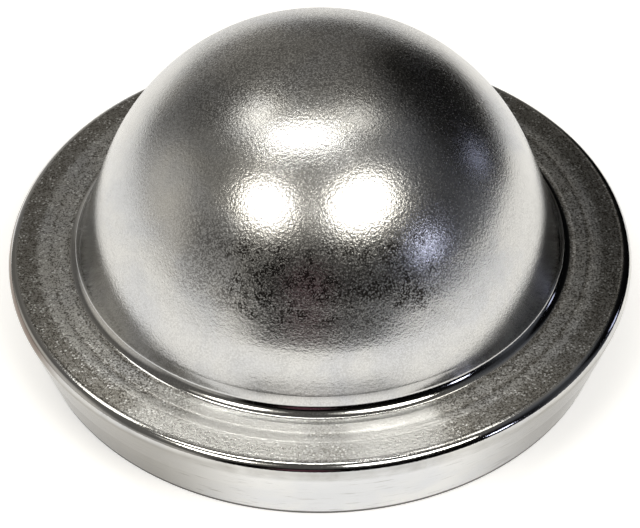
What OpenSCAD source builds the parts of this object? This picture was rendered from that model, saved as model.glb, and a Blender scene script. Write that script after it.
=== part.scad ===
// Hub grease cap, drawn from one sheet of plated steel.
// A domed crown runs down a drafted wall into a flat flange, and the
// flange turns over a rounded corner into a tapered skirt that is open below.
// The cap stands on its rim at z = 0, with its axis on Z and the crown up.

/* [Sheet] */
// Thickness of the drawn steel sheet
sheet_t = 1.0; // [0.6:0.1:1.2]

/* [Dome] */
// Outside diameter of the ball that shapes the crown
dome_d = 58.2; // [50:0.2:62]
// Height of the crown above the flange's top face
dome_rise = 30; // [27:0.5:36]
// Lean of the dome's wall from upright, in degrees
wall_draft = 20; // [12:0.5:24]
// Outside radius of the hollow fillet at the dome's foot
foot_r = 1.8; // [1.2:0.1:3]

/* [Flange] */
// Outside diameter of the flange, the cap's widest place
flange_d = 80; // [76:1:100]
// Outside radius of the corner between flange and skirt
corner_r = 1.3; // [1.2:0.1:3]

/* [Skirt] */
// Height of the flange's top face above the rim
skirt_h = 11.4; // [8:0.2:20]
// Inward lean of the skirt from upright, in degrees
skirt_taper = 18; // [0:1:25]

/* [Hidden] */
$fn = 180;

dome_r = dome_d / 2;
dome_z = skirt_h + dome_rise - dome_r;

// Centre of the hollow fillet, which touches the wall and the flange
foot_z = skirt_h + foot_r;
foot_x = (dome_r + foot_r + (dome_z - foot_z) * sin(wall_draft)) / cos(wall_draft);

// Centre of the outer corner, which touches the flange and the skirt
corner_x = flange_d / 2 - corner_r;
corner_z = skirt_h - corner_r;

// Depth that the hollow runs on below the rim, so that it cuts cleanly
past_rim = 1;

// Point at a distance from a centre, square to a wall that leans by an angle
function square_to(centre, distance, lean) =
    centre + distance * [cos(lean), sin(lean)];

// Half section of the cap as if it were solid, set in by an inset all over
module half_section(inset, bottom) {
    wall_top = square_to([0, dome_z], dome_r - inset, wall_draft);
    wall_foot = square_to([foot_x, foot_z], -(foot_r + inset), wall_draft);
    skirt_top = square_to([corner_x, corner_z], corner_r - inset, -skirt_taper);
    skirt_foot_x = skirt_top[0] - (skirt_top[1] - bottom) * tan(skirt_taper);
    difference() {
        union() {
            intersection() {
                translate([0, dome_z]) circle(r = dome_r - inset);
                translate([0, wall_top[1]]) square([dome_r, dome_r]);
            }
            polygon([
                [0, bottom],
                [skirt_foot_x, bottom],
                skirt_top,
                [corner_x, corner_z],
                [corner_x, skirt_h - inset],
                [foot_x, skirt_h - inset],
                [foot_x, foot_z],
                wall_foot,
                wall_top,
                [0, wall_top[1]]
            ]);
            translate([corner_x, corner_z]) circle(r = corner_r - inset);
        }
        translate([foot_x, foot_z]) circle(r = foot_r + inset);
    }
}

// The whole cap: one sheet of even thickness, turned about Z
module cap_shell() {
    color([0.72, 0.72, 0.7])
        rotate_extrude()
            difference() {
                half_section(0, 0);
                half_section(sheet_t, -past_rim);
            }
}

cap_shell();
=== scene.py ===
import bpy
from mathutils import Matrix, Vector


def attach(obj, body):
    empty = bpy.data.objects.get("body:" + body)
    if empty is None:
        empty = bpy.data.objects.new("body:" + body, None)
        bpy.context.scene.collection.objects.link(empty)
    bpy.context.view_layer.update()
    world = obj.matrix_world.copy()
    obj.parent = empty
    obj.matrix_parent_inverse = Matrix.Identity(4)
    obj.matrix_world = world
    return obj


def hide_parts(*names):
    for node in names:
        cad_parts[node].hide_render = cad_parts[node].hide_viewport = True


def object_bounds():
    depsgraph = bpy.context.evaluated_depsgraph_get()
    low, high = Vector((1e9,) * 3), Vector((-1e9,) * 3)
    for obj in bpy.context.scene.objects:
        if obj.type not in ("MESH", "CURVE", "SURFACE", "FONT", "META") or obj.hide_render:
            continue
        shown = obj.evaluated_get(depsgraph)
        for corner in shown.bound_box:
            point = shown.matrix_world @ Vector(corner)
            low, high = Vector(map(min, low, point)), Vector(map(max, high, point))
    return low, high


bl_info = {
    "name": "Hub grease cap",
    "version": (1, 0, 0),
    "blender": (4, 5, 0),
    "location": "View3D > Sidebar > Grease cap",
    "description": "Models a drawn steel hub grease cap, plates it with zinc and lights it in a small studio",
    "category": "Object",
}

import math

import bpy
from mathutils import Matrix, Vector

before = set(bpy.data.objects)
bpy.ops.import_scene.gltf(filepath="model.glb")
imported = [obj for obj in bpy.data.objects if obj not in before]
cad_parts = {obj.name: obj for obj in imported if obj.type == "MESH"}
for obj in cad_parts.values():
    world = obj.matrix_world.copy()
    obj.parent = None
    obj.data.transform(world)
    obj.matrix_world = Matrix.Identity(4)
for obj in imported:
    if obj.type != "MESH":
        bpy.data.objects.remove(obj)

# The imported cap's own box gives the widest place and the full height
CAD_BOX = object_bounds()
CAP_ACROSS = CAD_BOX[1].x - CAD_BOX[0].x
CAP_HEIGHT = CAD_BOX[1].z - CAD_BOX[0].z
MM = 0.001

# The picture's size, and the pixel where the middle of the flange's top face stands in it
PICTURE_WIDE, PICTURE_HIGH = 640, 528
FLANGE_MIDDLE = (319.95, 240.3)


class CapSizes(bpy.types.PropertyGroup):
    """Sizes of the drawn cap."""

    across: bpy.props.FloatProperty(
        name="Flange diameter", description="Widest place of the cap, over the flange",
        default=CAP_ACROSS, unit="LENGTH")
    height: bpy.props.FloatProperty(
        name="Height", description="Height from the rim to the top of the crown",
        default=CAP_HEIGHT, unit="LENGTH")
    sheet: bpy.props.FloatProperty(
        name="Sheet", description="Thickness of the steel sheet",
        default=1.0 * MM, unit="LENGTH")
    dome_across: bpy.props.FloatProperty(
        name="Dome diameter", description="Outside diameter of the ball that shapes the crown",
        default=58.2 * MM, unit="LENGTH")
    wall_draft: bpy.props.FloatProperty(
        name="Wall draft", description="Lean of the dome's wall from upright",
        default=math.radians(20), subtype="ANGLE")
    foot_round: bpy.props.FloatProperty(
        name="Foot fillet", description="Outside radius of the hollow fillet at the dome's foot",
        default=1.8 * MM, unit="LENGTH")
    corner_round: bpy.props.FloatProperty(
        name="Flange corner", description="Outside radius between flange and skirt",
        default=1.3 * MM, unit="LENGTH")
    skirt_height: bpy.props.FloatProperty(
        name="Skirt height", description="Height of the flange's top face above the rim",
        default=11.4 * MM, unit="LENGTH")
    skirt_taper: bpy.props.FloatProperty(
        name="Skirt taper", description="Inward lean of the skirt from upright",
        default=math.radians(18), subtype="ANGLE")
    rim_ease: bpy.props.FloatProperty(
        name="Rim easing", description="Rounding of the two sheared edges of the rim",
        default=0.14 * MM, unit="LENGTH")
    turns: bpy.props.IntProperty(
        name="Steps round", description="Faces round the cap",
        default=192, min=24, max=360)


class CapFinish(bpy.types.PropertyGroup):
    """Colours and gloss of the zinc plating."""

    zinc: bpy.props.FloatVectorProperty(
        name="Zinc", description="Clean bright plating",
        default=(0.63, 0.63, 0.622), size=3, subtype="COLOR")
    cool_zinc: bpy.props.FloatVectorProperty(
        name="Cool cloud", description="Bluish clouds in the plating",
        default=(0.57, 0.58, 0.60), size=3, subtype="COLOR")
    # Whiter zinc that paints highlights and glints on the flange, and a painted reflection of the floor on
    # the skirt.
    painted_highlight_zinc: bpy.props.FloatVectorProperty(
        name="Fresh zinc", description="Whitest plating, where the die has rubbed it",
        default=(0.93, 0.945, 0.955), size=3, subtype="COLOR")
    # Brownish grey of the flange's specks, also used for painted shade under the corner, on the skirt's
    # flanks and round the flange.
    dull_zinc_and_shade: bpy.props.FloatVectorProperty(
        name="Dull zinc", description="Brownish grey specks of the flange",
        default=(0.25, 0.24, 0.22), size=3, subtype="COLOR")
    # Dark of the sheared edge, the flange's pits and the dome's grains; also painted shade on the dome and a
    # painted contact shadow along the rim.
    dark_specks_and_shade: bpy.props.FloatVectorProperty(
        name="Sheared edge", description="Dark edge where the sheet was cut",
        default=(0.07, 0.065, 0.06), size=3, subtype="COLOR")
    rust: bpy.props.FloatVectorProperty(
        name="Rust", description="Small stain at the left end of the flange",
        default=(0.10, 0.055, 0.03), size=3, subtype="COLOR")
    dome_rough: bpy.props.FloatProperty(
        name="Dome roughness", description="Satin of the crown",
        default=0.25, min=0, max=1, subtype="FACTOR")
    flange_rough: bpy.props.FloatProperty(
        name="Flange roughness", description="Satin of the flange's outer band",
        default=0.30, min=0, max=1, subtype="FACTOR")
    skirt_rough: bpy.props.FloatProperty(
        name="Skirt roughness", description="Satin of the skirt",
        default=0.16, min=0, max=1, subtype="FACTOR")
    drawn_rough: bpy.props.FloatProperty(
        name="Drawn roughness", description="Gloss where the die has burnished the sheet",
        default=0.09, min=0, max=1, subtype="FACTOR")
    grain_height: bpy.props.FloatProperty(
        name="Grain height", description="Height of the plating's orange peel",
        default=0.047 * MM, unit="LENGTH")
    ring_height: bpy.props.FloatProperty(
        name="Ring height", description="Height of the fine rings that the drawing has left",
        default=0.02 * MM, unit="LENGTH")


class StudioSizes(bpy.types.PropertyGroup):
    """Floor, lamps and camera of the studio."""

    floor: bpy.props.FloatVectorProperty(
        name="Floor", description="Colour of the plain floor",
        default=(0.9, 0.9, 0.9), size=3, subtype="COLOR")
    floor_glow: bpy.props.FloatProperty(
        name="Floor glow", description="Light that the pale floor gives off by itself",
        default=0.5, min=0)
    room_grey: bpy.props.FloatProperty(
        name="Room grey", description="Light of the room's walls where no lamp falls on them",
        default=0.10, min=0)
    lens: bpy.props.FloatProperty(
        name="Lens", description="Focal length of the camera in millimetres",
        default=155.475)
    away: bpy.props.FloatProperty(
        name="Camera distance", description="From the middle of the flange's top face",
        default=355.12 * MM, unit="LENGTH")
    pitch: bpy.props.FloatProperty(
        name="Camera height", description="Angle of the camera above the horizon",
        default=math.radians(42.3), subtype="ANGLE")
    roll: bpy.props.FloatProperty(
        name="Camera roll", description="Turn of the picture about its middle",
        default=math.radians(0.6), subtype="ANGLE")
    lamp: bpy.props.FloatProperty(
        name="Lamp power", description="Power that all lamps are multiplied by",
        default=1.0, min=0)


class Sock:
    """A shader value that sums and scales as a number does."""

    def __init__(self, bench, out):
        self.bench, self.out = bench, out

    def _do(self, name, first, second=None):
        values = {0: first} if second is None else {0: first, 1: second}
        return self.bench.add("ShaderNodeMath", {"operation": name}, values)

    def __add__(self, other):
        return self._do("ADD", self, other)

    def __sub__(self, other):
        return self._do("SUBTRACT", self, other)

    def __rsub__(self, other):
        return self._do("SUBTRACT", other, self)

    def __mul__(self, other):
        return self._do("MULTIPLY", self, other)

    def __truediv__(self, other):
        return self._do("DIVIDE", self, other)

    __radd__ = __add__
    __rmul__ = __mul__

    def root(self):
        return self._do("SQRT", self)

    def atan2(self, other):
        return self._do("ARCTAN2", self, other)

    def clip(self, low=0, high=1):
        return self._do("MINIMUM", self._do("MAXIMUM", self, low), high)

    def step(self, low, high):
        """Goes smoothly from 0 at low to 1 at high, which may also be the lesser of the two."""
        if low > high:
            return 1 - self.step(high, low)
        settings = {"interpolation_type": "SMOOTHSTEP"}
        return self.bench.add("ShaderNodeMapRange", settings, {0: self, 1: low, 2: high, 3: 0, 4: 1})

    def band(self, middle, half, soft):
        """1 within half of the middle, falling to 0 over soft on both sides."""
        rise = self.step(middle - half - soft, middle - half)
        return rise * self.step(middle + half + soft, middle + half)


class Bench:
    """Adds nodes to one material or world."""

    def __init__(self, owner):
        owner.use_nodes = True
        self.tree = owner.node_tree
        self.tree.nodes.clear()

    def add(self, kind, settings=None, values=None, out=0):
        """Adds a node, makes its settings, fills its sockets and returns one of its outputs."""
        node = self.tree.nodes.new(kind)
        for name, value in (settings or {}).items():
            setattr(node, name, value)
        for name, value in (values or {}).items():
            if isinstance(value, Sock):
                self.tree.links.new(value.out, node.inputs[name])
            else:
                node.inputs[name].default_value = value
        return Sock(self, node.outputs[out]) if len(node.outputs) else node

    def mix(self, share, first, second):
        """Colours first to second by share."""
        values = {0: share}
        for key, colour in ((6, first), (7, second)):
            values[key] = colour if isinstance(colour, Sock) else (*colour, 1)
        return self.add("ShaderNodeMix", {"data_type": "RGBA"}, values, out=2)

    def vector(self, x, y, z):
        return self.add("ShaderNodeCombineXYZ", None, {0: x, 1: y, 2: z})

    def parts(self, vector):
        """The three parts of a vector."""
        first = self.add("ShaderNodeSeparateXYZ", None, {0: vector})
        return [Sock(self, out) for out in first.out.node.outputs]

    def noise(self, place, scale, detail, rough, warp=0.0):
        return self.add("ShaderNodeTexNoise", None, {
            "Vector": place, "Scale": scale, "Detail": detail, "Roughness": rough, "Distortion": warp})

    def cells(self, place, scale):
        return self.add("ShaderNodeTexVoronoi", {"feature": "F1"}, {"Vector": place, "Scale": scale})

    def bump(self, height, distance, strength, under=None):
        values = {"Height": height, "Distance": distance, "Strength": strength}
        if under is not None:
            values["Normal"] = under
        return self.add("ShaderNodeBump", None, values)

    def finish(self, kind, shader):
        """Links a finished shader to the material's or the world's output."""
        self.add(kind, None, {"Surface": shader})


def only(thing):
    """Deselects all objects, then selects and activates one."""
    bpy.ops.object.select_all(action="DESELECT")
    thing.select_set(True)
    bpy.context.view_layer.objects.active = thing


def edges_where(thing, test):
    """Selects, in edit mode, the edges whose two ends both pass a test of their place."""
    bpy.ops.mesh.select_all(action="DESELECT")
    bpy.ops.object.mode_set(mode="OBJECT")
    points = thing.data.vertices
    for edge in thing.data.edges:
        edge.select = all(test(points[i].co) for i in edge.vertices)
    bpy.ops.object.mode_set(mode="EDIT")


def square_to(centre, reach, lean):
    """Point at a reach from a centre, square to a wall that leans by an angle."""
    return centre[0] + reach * math.cos(lean), centre[1] + reach * math.sin(lean)


class SectionPen:
    """Draws a half section from one point, by extruding it along lines and spinning it along arcs."""

    TIGHT = 0.12 * MM

    def __init__(self, name, x, z):
        bpy.ops.object.select_all(action="DESELECT")
        bpy.ops.mesh.primitive_plane_add(size=MM, location=(0, 0, 0))
        self.thing = bpy.context.object
        self.thing.name = self.thing.data.name = name
        bpy.ops.object.mode_set(mode="EDIT")
        bpy.ops.mesh.merge(type="CENTER")
        bpy.ops.transform.translate(value=(x, 0, z))
        self.place = Vector((x, z))

    def to(self, x, z):
        """Straight to a point, in one step."""
        move = Vector((x, z)) - self.place
        bpy.ops.mesh.extrude_vertices_move(TRANSFORM_OT_translate={"value": (move.x, 0, move.y)})
        self.place = Vector((x, z))

    def line(self, x, z, parts=1):
        """Straight to a point, with a tight step at each end that keeps the face's shading flat."""
        start, end = self.place.copy(), Vector((x, z))
        way = (end - start).normalized() * self.TIGHT
        stops = [start + way]
        stops += [start.lerp(end, i / parts) for i in range(1, parts)]
        stops += [end - way, end]
        for stop in stops:
            self.to(*stop)

    def arc(self, x, z, angle, steps):
        """Round a centre by an angle, anticlockwise in the section if positive."""
        bpy.ops.mesh.spin(steps=steps, angle=angle, center=(x, 0, z), axis=(0, 1, 0))
        arm = self.place - Vector((x, z))
        arm.rotate(Matrix.Rotation(angle, 2))
        self.place = Vector((x, z)) + arm


class HUBCAP_OT_shell(bpy.types.Operator):
    """Draws the cap's half section, spins it about the axis and eases the rim"""

    bl_idname = "hubcap.shell"
    bl_label = "Draw the shell"

    # Steps of the section's arcs
    CROWN_STEPS, INNER_CROWN_STEPS = 40, 32
    FOOT_STEPS = 12
    CORNER_STEPS, INNER_CORNER_STEPS = 14, 6

    # Points closer than this are one, and a point this near the rim's edges is on them
    SAME_POINT = 0.002 * MM
    ON_BASE = 0.01 * MM
    ON_EDGE = 0.02 * MM

    def execute(self, context):
        size = context.scene.hubcap_sizes
        dome, sheet = size.dome_across / 2, size.sheet
        dome_z = size.height - dome
        flange_z, draft, taper = size.skirt_height, size.wall_draft, size.skirt_taper
        foot_z = flange_z + size.foot_round
        foot_x = (dome + size.foot_round + (dome_z - foot_z) * math.sin(draft)) / math.cos(draft)
        corner_x = size.across / 2 - size.corner_round
        corner_z = flange_z - size.corner_round
        upright = math.pi / 2

        # Ends of the straight stretches, on the outside and set in by the sheet
        def wall_top(inset):
            return square_to((0, dome_z), dome - inset, draft)

        def wall_foot(inset):
            return square_to((foot_x, foot_z), -(size.foot_round + inset), draft)

        def skirt_top(inset):
            return square_to((corner_x, corner_z), size.corner_round - inset, -taper)

        def skirt_foot(inset):
            x, z = skirt_top(inset)
            return x - z * math.tan(taper)

        pen = SectionPen("cap_plated_shell", 0, size.height)
        pen.arc(0, dome_z, draft - upright, self.CROWN_STEPS)
        pen.line(*wall_foot(0), parts=3)
        pen.arc(foot_x, foot_z, upright - draft, self.FOOT_STEPS)
        pen.line(corner_x, flange_z, parts=4)
        pen.arc(corner_x, corner_z, -upright - taper, self.CORNER_STEPS)
        pen.line(skirt_foot(0), 0, parts=4)
        pen.line(skirt_foot(sheet), 0)
        pen.line(*skirt_top(sheet), parts=4)
        pen.arc(corner_x, corner_z, upright + taper, self.INNER_CORNER_STEPS)
        pen.line(foot_x, flange_z - sheet, parts=2)
        pen.arc(foot_x, foot_z, draft - upright, self.FOOT_STEPS)
        pen.line(*wall_top(sheet), parts=3)
        pen.arc(0, dome_z, upright - draft, self.INNER_CROWN_STEPS)

        self.turn_round(size.turns)
        self.ease_rim(pen.thing, (skirt_foot(0), skirt_foot(sheet)), size.rim_ease)
        only(pen.thing)
        bpy.ops.object.shade_smooth_by_angle(angle=math.radians(40))

        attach(pen.thing, "root")
        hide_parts("cap_shell")
        return {"FINISHED"}

    def turn_round(self, steps):
        """Spins the section once about the axis and closes its seam and its two poles."""
        bpy.ops.mesh.select_all(action="SELECT")
        bpy.ops.mesh.spin(steps=steps, angle=math.tau, center=(0, 0, 0), axis=(0, 0, 1))
        bpy.ops.mesh.select_all(action="SELECT")
        bpy.ops.mesh.remove_doubles(threshold=self.SAME_POINT)
        bpy.ops.mesh.select_all(action="SELECT")
        bpy.ops.mesh.normals_make_consistent(inside=False)

    def ease_rim(self, thing, edges, ease):
        """Rounds the rim's outer and inner edge, given by their radii."""
        def on_rim(point):
            far = math.hypot(point.x, point.y)
            return abs(point.z) < self.ON_BASE and min(abs(far - edge) for edge in edges) < self.ON_EDGE

        edges_where(thing, on_rim)
        bpy.ops.mesh.bevel(offset=ease, segments=2, affect="EDGES")
        bpy.ops.object.mode_set(mode="OBJECT")


class Zones:
    """Places on the cap, and its stretches and sectors, each 1 on its own part and 0 elsewhere."""

    # Rings of the flange as shares of its radius: the middle, half width and fade of each
    DARK_RING = (0.861, 0.002, 0.008)
    LIGHT_RING = (0.884, 0.006, 0.008)
    # A darker ring on the flange by the dome's foot: painted shade in the crease.
    CREASE_SHADE_RING = (0.805, 0.004, 0.006)
    FOOT_RING = (0.781, 0.016, 0.008)
    OUTER_STARTS = (0.888, 0.918)

    # Sectors by their bearing in radians, which is -1.57 at the front: middle, half width and fade
    FRONT = (-1.72, 0.40, 0.14)

    def __init__(self, bench, place, size):
        self.x, self.y, self.z = bench.parts(place)
        self.share = (self.x * self.x + self.y * self.y).root() / (size.across / 2)
        self.bearing = self.y.atan2(self.x)
        self.up = self.z - size.skirt_height
        up, share = self.up, self.share

        # Stretches of the section, from the crown to the rim
        above = up.step(-0.5 * MM, -0.2 * MM)
        low_wall = above * up.step(3.2 * MM, 1.6 * MM)
        self.flange = above * share.step(0.790, 0.800)
        self.dome = above * (1 - self.flange)
        self.foot = low_wall * share.band(*self.FOOT_RING)
        self.corner = share.step(0.968, 0.976) * up.step(-1.9 * MM, -1.5 * MM)
        self.skirt = up.step(-0.9 * MM, -1.6 * MM)
        self.rim = self.z.step(0.70 * MM, 0.45 * MM)

        # The flange's outer band, its fine rings, and its front and two sides
        self.outer = share.step(*self.OUTER_STARTS)
        self.dark_ring = share.band(*self.DARK_RING)
        self.light_ring = share.band(*self.LIGHT_RING)
        self.crease_shade_ring = share.band(*self.CREASE_SHADE_RING)
        self.front = self.bearing.band(*self.FRONT)
        self.left = self.x.step(-16 * MM, -32 * MM)
        self.right = self.x.step(24 * MM, 34 * MM)


class Grains:
    """Clouds, blotches and grains of the plating."""

    # Scale to a metre, detail, roughness and warp
    CLOUD = (95, 3.0, 0.55, 0.4)
    PATCH = (230, 3.0, 0.6, 0.6)
    BLOTCH = (520, 3.0, 0.65)
    PEEL = (2700, 2.0, 0.6)
    GRIT = (4600, 1.0, 0.7)
    SPECKS = 2300

    # The drawn rings and the skirt's streaks run round the cap, so they are read in its own measures
    RINGS = (1.6, 4.0, 0.6)
    STREAKS = (1.0, 3.0, 0.6)

    def __init__(self, bench, place, zone):
        self.cloud = bench.noise(place, *self.CLOUD)
        self.patch = bench.noise(place, *self.PATCH)
        self.blotch = bench.noise(place, *self.BLOTCH)
        self.peel = bench.noise(place, *self.PEEL)
        self.grit = bench.noise(place, *self.GRIT)
        self.specks = bench.cells(place, self.SPECKS)
        round_flange = bench.vector(zone.share * 60, zone.bearing * 0.8, zone.z * 900)
        self.rings = bench.noise(round_flange, *self.RINGS)
        round_skirt = bench.vector(zone.bearing * 9, zone.z * 2600, 0)
        self.streaks = bench.noise(round_skirt, *self.STREAKS)


class HUBCAP_OT_plating(bpy.types.Operator):
    """Plates the shell with zinc, satin on the crown, mottled on the flange and glossy at the rounds"""

    bl_idname = "hubcap.plating"
    bl_label = "Plate the shell"

    # Sectors of the flange painted as highlights of the lamps: middle, half width and fade in radians of
    # bearing, then how strong each is, and how much of that it loses on the outer band
    PAINTED_HIGHLIGHT_SECTORS = (
        (-1.32, 0.07, 0.14, 1.20, 0.50),
        (-1.84, 0.08, 0.20, 0.80, 0.30),
        (-1.57, 0.30, 0.22, 0.45, 0.20),
        (-2.09, 0.06, 0.14, 0.25, -0.25),
    )

    # Sectors of the wall's shallow dent and of the flange's tilted place: middle, half width and fade
    DENT = (-1.58, 0.20, 0.26)
    TILTED = (-1.29, 0.08, 0.15)

    # The foot of the dome is this much glossier than its top, and the flange's inner band this much rougher
    LOW_DOME_GLOSS = 0.09
    INNER_BAND_ROUGH = 0.04

    def execute(self, context):
        size, finish = context.scene.hubcap_sizes, context.scene.hubcap_finish
        plate = bpy.data.materials.new("zinc_plate")
        bench = Bench(plate)
        place = bench.add("ShaderNodeTexCoord", out=3)
        zone = Zones(bench, place, size)
        grain = Grains(bench, place, zone)

        clean = bench.mix(grain.cloud.step(0.38, 0.66), finish.zinc, finish.cool_zinc)
        colour = self.weather_and_light_flange(bench, zone, grain, finish, clean)
        colour = self.grain_and_shade_dome(bench, zone, grain, finish, colour)
        colour = self.shade_and_stain_skirt(bench, zone, grain, finish, colour)
        shader = bench.add("ShaderNodeBsdfPrincipled", None, {
            "Metallic": 1.0, "Base Color": colour,
            "Roughness": self.roughness(zone, grain, finish).clip(),
            "Normal": self.relief(bench, zone, grain, finish)})
        bench.finish("ShaderNodeOutputMaterial", shader)

        thing = bpy.data.objects["cap_plated_shell"]
        thing.data.materials.clear()
        thing.data.materials.append(plate)
        return {"FINISHED"}

    def weather_and_light_flange(self, bench, zone, grain, finish, colour):
        """Dulls the flange, more so on its outer band, adds its pits, paints light and shade round it by side
        and at its inner crease, and paints highlights and glints in whiter zinc.
        """
        outer, front, right = zone.outer, zone.front, zone.right
        gritty = zone.flange * (1 - zone.foot) * (1 - zone.corner)
        sector_highlights = sum(zone.bearing.band(middle, half, soft) * (strong - outer * loss)
                     for middle, half, soft, strong, loss in self.PAINTED_HIGHLIGHT_SECTORS).clip()

        # Painted light: the outer band is lighter at its front and right, and the inner band at its front,
        # left and right, where the lamps reflect.
        dull_and_painted_light = outer * (0.68 - front * 0.33 - right * 0.14) - sector_highlights * 0.7
        dull_and_painted_light += zone.crease_shade_ring * 0.6
        dull_and_painted_light += zone.dark_ring * 0.5
        dull_and_painted_light -= zone.light_ring * 0.25
        dull_and_painted_light += (1 - outer) * ((1 - front) * 0.12 - zone.left * 0.45 - right * 0.22)
        dull_and_painted_light += (grain.patch - 0.5) * 0.6
        dull_and_painted_light += grain.grit.step(0.57, 0.43) * (0.66 - outer * 0.16)
        colour = bench.mix((dull_and_painted_light * gritty).clip(), colour, finish.dull_zinc_and_shade)

        pits = grain.grit.step(0.48, 0.41) * gritty * (0.65 - sector_highlights * 0.5 - outer * 0.12).clip()
        colour = bench.mix(pits, colour, finish.dark_specks_and_shade)

        # Painted glints in the flange's bright specks, painted highlights in its sectors, and the skirt
        # whitened as a painted reflection of the floor.
        sparkle = grain.specks.step(0.40, 0.26) * grain.blotch.step(0.45, 0.58) * 0.9
        painted_highlights = (sparkle + sector_highlights * 0.75) * gritty + zone.skirt * 0.22
        return bench.mix(painted_highlights.clip(), colour, finish.painted_highlight_zinc)

    def grain_and_shade_dome(self, bench, zone, grain, finish, colour):
        """Adds dark grains to the dome, and more of them at its top and low on its front, where they also
        paint the dome's dark reflections as shade.
        """
        x, y, up = zone.x, zone.y, zone.up
        # Painted shade: darker blotched grains in a crescent low on the dome's front.
        painted_dark_crescent = up.band(15.0 * MM, 2.5 * MM, 3.0 * MM) * x.band(1.5 * MM, 9.5 * MM, 5.0 * MM)
        painted_dark_crescent *= y.step(-17 * MM, -21 * MM)
        # More grains at the top and low on the front: partly coarser grain, partly painted dark reflection.
        coarse_grain_and_shade = x.band(0, 13.5 * MM, 5.0 * MM) * up.step(9 * MM, 15 * MM)
        coarse_grain_and_shade *= (y.step(-10 * MM, -5 * MM) + up.step(22 * MM, 18 * MM)).clip()
        blotched = grain.blotch.step(0.46, 0.58) * (0.06 + painted_dark_crescent * 0.8)
        grain_and_painted_shade = zone.dome * grain.grit.step(0.58, 0.44) * (0.13 + coarse_grain_and_shade * 0.45 + blotched)
        return bench.mix(grain_and_painted_shade.clip(), colour, finish.dark_specks_and_shade)

    def shade_and_stain_skirt(self, bench, zone, grain, finish, colour):
        """Adds painted shade under the corner and on the flanks, streaks, a rust stain, and the dark rim with
        a painted contact shadow.
        """
        x, up, share, skirt = zone.x, zone.up, zone.share, zone.skirt
        # Painted shade under the flange's corner.
        painted_shade_under_corner = up.band(-1.7 * MM, 0.4 * MM, 1.0 * MM) * share.step(0.93, 0.96) * (grain.patch - 0.15)
        colour = bench.mix(painted_shade_under_corner.clip(), colour, finish.dull_zinc_and_shade)
        # Painted shade on the skirt's flanks, with real streaks added.
        painted_shade_flanks = skirt * (1 - x.band(4 * MM, 10 * MM, 16 * MM))
        streak = grain.streaks.step(0.58, 0.72) * skirt
        colour = bench.mix((painted_shade_flanks * 0.95 + streak * 0.45).clip(), colour, finish.dull_zinc_and_shade)
        stain = share.step(0.988, 0.994) * up.step(-1.4 * MM, -1.2 * MM) * x.step(-31 * MM, -36 * MM)
        colour = bench.mix(stain * 0.8, colour, finish.rust)
        # Painted contact shadow along the rim, over its dark sheared edge.
        return bench.mix(zone.rim * 0.95, colour, finish.dark_specks_and_shade)

    def roughness(self, zone, grain, finish):
        """Satin on dome, flange and skirt, and gloss on the fillet and the corner."""
        more = self.INNER_BAND_ROUGH
        low_dome = zone.up.step(10 * MM, 5 * MM)
        base = zone.dome * (finish.dome_rough - low_dome * self.LOW_DOME_GLOSS)
        base += zone.flange * (finish.flange_rough + more - zone.outer * more)
        base += zone.skirt * finish.skirt_rough
        for drawn in (zone.foot, zone.corner):
            base = base * (1 - drawn) + drawn * finish.drawn_rough
        return base + (grain.cloud - 0.5) * 0.10 + (grain.grit - 0.5) * 0.16 + zone.rim * 0.25

    def relief(self, bench, zone, grain, finish):
        """Large soft forms first, then the plating's grain, then the fine rings."""
        up, share, bearing = zone.up, zone.share, zone.bearing

        # The wall swells a little above its foot, and the flange falls a little to its edge
        dent = up.band(7.2 * MM, 0.3 * MM, 5.4 * MM) * bearing.band(*self.DENT)
        swell = up.step(1.0 * MM, 8.0 * MM) * 0.38 - up.step(8.0 * MM, 14.5 * MM) * 0.20 + dent * 0.25
        fall = share.clip(0.82, 0.90) * 7.0 + share.clip(0.90, 0.965) * 8.5
        fall += bearing.band(*self.TILTED) * share.step(0.820, 0.895) * 0.22
        form = bench.bump(swell * zone.dome - fall, MM, 1.0)

        near_foot = zone.dome * up.step(7 * MM, 3 * MM) * 0.75
        quiet = 1 - (zone.foot * 0.85 + zone.corner * 0.8 + zone.skirt * 0.7 + near_foot).clip()
        peel = (grain.grit * 0.35 + grain.peel * 0.65) * quiet
        peeled = bench.bump(peel, finish.grain_height, 0.9, form)
        rings = grain.rings * (zone.flange * 0.2 + zone.skirt) + (zone.light_ring - zone.dark_ring) * 1.2
        return bench.bump(rings, finish.ring_height, 0.6, peeled)


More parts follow.
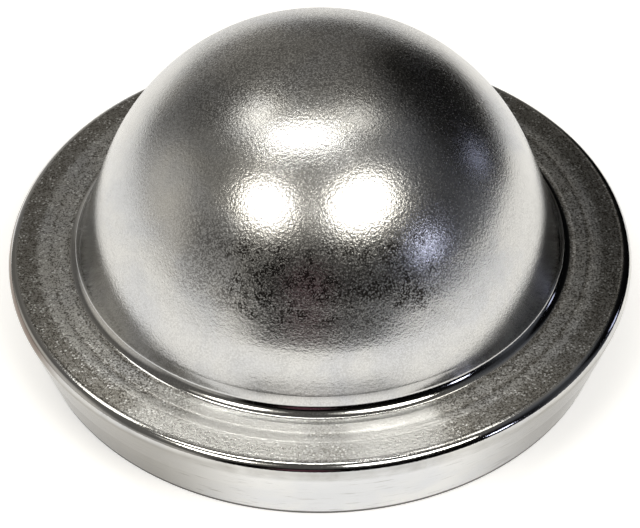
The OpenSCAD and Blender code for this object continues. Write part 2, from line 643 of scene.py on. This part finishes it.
class HUBCAP_OT_studio(bpy.types.Operator):
    """Sets the plain floor, the soft lamps, the room round them and the camera"""

    bl_idname = "hubcap.studio"
    bl_label = "Set the studio"

    # The floor's radius, and the notch at its back right, by its bearings in degrees and its share
    FLOOR_REACH = 3
    NOTCH_FROM, NOTCH_TO = 24, 66
    NOTCH_SHARE = 0.09

    WARM_LEFT, WARM_RIGHT, WARM_TOP = (1, 0.955, 0.86), (1, 0.96, 0.87), (1, 0.965, 0.88)
    COOL_SIDE, COOL_BACK = (0.76, 0.79, 1), (0.70, 0.74, 1)

    # Name, place seen from the cap (right, back, up), width, depth, power, colour
    LAMPS = (
        ("left_softbox", (-0.43, -0.485, 0.755), 0.33, 0.215, 1.57, WARM_LEFT),
        ("left_halo", (-0.42, -0.465, 0.775), 0.52, 0.36, 0.22, WARM_LEFT),
        ("right_softbox", (0.35, -0.505, 0.785), 0.45, 0.255, 2.7, WARM_RIGHT),
        ("right_halo", (0.31, -0.50, 0.80), 0.55, 0.37, 0.27, WARM_RIGHT),
        ("overhead_softbox", (-0.12, 0.02, 0.99), 0.62, 0.09, 1.5, WARM_TOP),
        ("overhead_halo", (-0.14, 0.03, 0.99), 0.66, 0.14, 0.12, WARM_TOP),
        ("overhead_left", (-0.43, 0.31, 0.845), 0.25, 0.17, 0.37, WARM_TOP),
        ("overhead_right", (0.28, 0.22, 0.935), 0.23, 0.13, 0.20, WARM_TOP),
        ("side_glow", (0.81, -0.50, 0.31), 0.13, 0.13, 0.30, COOL_SIDE),
        ("back_glow", (0.90, 0.36, 0.225), 0.10, 0.12, 0.04, COOL_BACK),
    )

    # Lamps hang this far from a point this high on the axis, and one above this height lies level
    LAMP_AWAY = 0.9
    LAMP_AIM = 30 * MM
    STEEP = 0.85

    # Light and dark places on the room's walls: bearing from the camera's side to the right and
    # height above the floor in degrees, half width and fade in degrees, strength
    LIGHT_WALLS = (
        (-100, 22, 35, 40, 0.04),
        (-95, 2, 14, 22, 0.5),
        (165, 52, 22, 30, 0.05),
        (172, 40, 18, 22, 0.06),
        (-158, 3, 8, 16, 0.22),
        (-46, 1, 12, 12, 0.32),
    )
    DARK_WALLS = (
        (-11, 12, 18, 13, 1),
        (11, 13, 18, 14, 1),
        (50, 21, 18, 16, 1),
        (134, 20, 22, 12, 1),
        (134, -2, 16, 14, 1),
        (96, 32, 8, 14, 0.5),
    )
    BLUSH_WALL = (-6, 16, 4, 9)
    COOL_WALL = (100, 10, 30, 30)
    BLUSH_LIGHT = 0.10
    DARKEST = 0.98
    WARM_GREY, COOL_GREY, BLUSH = (1, 0.95, 0.86), (0.86, 0.90, 1), (1, 0.35, 0.5)

    def execute(self, context):
        studio, size = context.scene.hubcap_studio, context.scene.hubcap_sizes
        self.lay_floor(studio)
        for lamp in self.LAMPS:
            self.hang(studio, *lamp)
        self.paint_room(context, studio)
        self.place_camera(context, studio, size)
        context.scene.view_settings.view_transform = "Standard"
        return {"FINISHED"}

    def lay_floor(self, studio):
        bpy.ops.object.select_all(action="DESELECT")
        bpy.ops.mesh.primitive_circle_add(
            vertices=72, radius=self.FLOOR_REACH, fill_type="NGON", location=(0, 0, 0))
        floor = bpy.context.object
        floor.name = floor.data.name = "studio_floor"

        # The paper ends near the cap at its back right, where the dark room shows in the dome
        bpy.ops.object.mode_set(mode="EDIT")
        bpy.ops.mesh.select_mode(type="VERT")
        bpy.ops.mesh.select_all(action="DESELECT")
        bpy.ops.object.mode_set(mode="OBJECT")
        first, last = math.radians(self.NOTCH_FROM), math.radians(self.NOTCH_TO)
        for point in floor.data.vertices:
            point.select = first < math.atan2(point.co.y, point.co.x) < last
        bpy.ops.object.mode_set(mode="EDIT")
        bpy.ops.transform.resize(value=(self.NOTCH_SHARE, self.NOTCH_SHARE, 1), center_override=(0, 0, 0))
        bpy.ops.object.mode_set(mode="OBJECT")

        paper = bpy.data.materials.new("pale_paper")
        bench = Bench(paper)
        shader = bench.add("ShaderNodeBsdfPrincipled", None, {
            "Base Color": (*studio.floor, 1), "Roughness": 0.9, "Specular IOR Level": 0.0,
            "Emission Color": (1, 1, 1, 1), "Emission Strength": studio.floor_glow})
        bench.finish("ShaderNodeOutputMaterial", shader)
        floor.data.materials.append(paper)

    def hang(self, studio, name, way, width, depth, power, colour):
        """Hangs one oval lamp that faces the cap, with its width level."""
        way = Vector(way).normalized()
        across = Vector((1, 0, 0)) if way.z > self.STEEP else Vector((0, 0, 1)).cross(way)
        along = way.cross(across).normalized()
        across = along.cross(way)
        lamp = bpy.data.lights.new(name, "AREA")
        lamp.shape = "ELLIPSE"
        lamp.size, lamp.size_y = width, depth
        lamp.energy, lamp.color = power * studio.lamp, colour
        holder = bpy.data.objects.new(name, lamp)
        bpy.context.scene.collection.objects.link(holder)
        turn = Matrix((across, along, way)).transposed()
        spot = way * self.LAMP_AWAY + Vector((0, 0, self.LAMP_AIM))
        holder.matrix_world = Matrix.Translation(spot) @ turn.to_4x4()

    def paint_room(self, context, studio):
        """Paints the room's walls in soft grey lobes, and shows plain white to the camera."""
        room = bpy.data.worlds.new("studio_room")
        context.scene.world = room
        bench = Bench(room)
        way = bench.add("ShaderNodeTexCoord", out=0)

        def lobe(bearing, height, wide, soft, strength=1):
            a, e = math.radians(bearing), math.radians(height)
            aim = (math.sin(a) * math.cos(e), -math.cos(a) * math.cos(e), math.sin(e))
            near = bench.add("ShaderNodeVectorMath", {"operation": "DOT_PRODUCT"},
                             {0: way, 1: aim}, out=1)
            return near.step(math.cos(math.radians(wide + soft)), math.cos(math.radians(wide))) * strength

        grey = sum((lobe(*wall) for wall in self.LIGHT_WALLS), studio.room_grey)
        dark = sum(lobe(*wall) for wall in self.DARK_WALLS).clip()
        blush = lobe(*self.BLUSH_WALL)
        grey = grey * (1 - dark * self.DARKEST) + blush * self.BLUSH_LIGHT
        colour = bench.mix(lobe(*self.COOL_WALL), self.WARM_GREY, self.COOL_GREY)
        colour = bench.mix(blush, colour, self.BLUSH)
        seen = bench.add("ShaderNodeLightPath", out=0)
        light = bench.add("ShaderNodeBackground", None, {
            "Color": bench.mix(seen, colour, (1, 1, 1)),
            "Strength": grey * (1 - seen) + seen})
        bench.finish("ShaderNodeOutputWorld", light)

    def place_camera(self, context, studio, size):
        """Looks at the flange from the front, with its middle at its own pixel of the picture."""
        camera = bpy.data.cameras.new("studio_camera")
        holder = bpy.data.objects.new("studio_camera", camera)
        context.scene.collection.objects.link(holder)
        camera.sensor_width, camera.lens = 36, studio.lens
        camera.clip_start, camera.clip_end = 0.01, 50
        middle = Vector((0, 0, size.skirt_height))
        back = Vector((0, -math.cos(studio.pitch), math.sin(studio.pitch)))
        turn = back.to_track_quat("Z", "Y").to_matrix() @ Matrix.Rotation(-studio.roll, 3, "Z")
        focal = studio.lens / camera.sensor_width * PICTURE_WIDE
        right = (FLANGE_MIDDLE[0] - PICTURE_WIDE / 2) / focal
        above = (PICTURE_HIGH / 2 - FLANGE_MIDDLE[1]) / focal
        seen = Vector((right, above, -1)).normalized()
        turn = turn @ Vector((0, 0, -1)).rotation_difference(seen).to_matrix().inverted()
        holder.matrix_world = Matrix.Translation(middle + back * studio.away) @ turn.to_4x4()
        context.scene.camera = holder


class HUBCAP_PT_panel(bpy.types.Panel):
    """Lists the steps and settings of the grease cap"""

    bl_idname = "HUBCAP_PT_panel"
    bl_label = "Grease cap"
    bl_space_type = "VIEW_3D"
    bl_region_type = "UI"
    bl_category = "Grease cap"

    def draw(self, context):
        layout = self.layout
        for kind in (HUBCAP_OT_shell, HUBCAP_OT_plating, HUBCAP_OT_studio):
            layout.operator(kind.bl_idname)
        for name in GROUPS:
            group = getattr(context.scene, name)
            box = layout.box()
            for key in type(group).__annotations__:
                box.prop(group, key)


GROUPS = {"hubcap_sizes": CapSizes, "hubcap_finish": CapFinish, "hubcap_studio": StudioSizes}
CLASSES = (*GROUPS.values(), HUBCAP_OT_shell, HUBCAP_OT_plating, HUBCAP_OT_studio, HUBCAP_PT_panel)


def register():
    for kind in CLASSES:
        bpy.utils.register_class(kind)
    for name, kind in GROUPS.items():
        setattr(bpy.types.Scene, name, bpy.props.PointerProperty(type=kind))


def unregister():
    for name in GROUPS:
        delattr(bpy.types.Scene, name)
    for kind in reversed(CLASSES):
        bpy.utils.unregister_class(kind)


def main():
    register()
    bpy.ops.hubcap.shell()
    bpy.ops.hubcap.plating()
    bpy.ops.hubcap.studio()


if __name__ == "__main__":
    main()
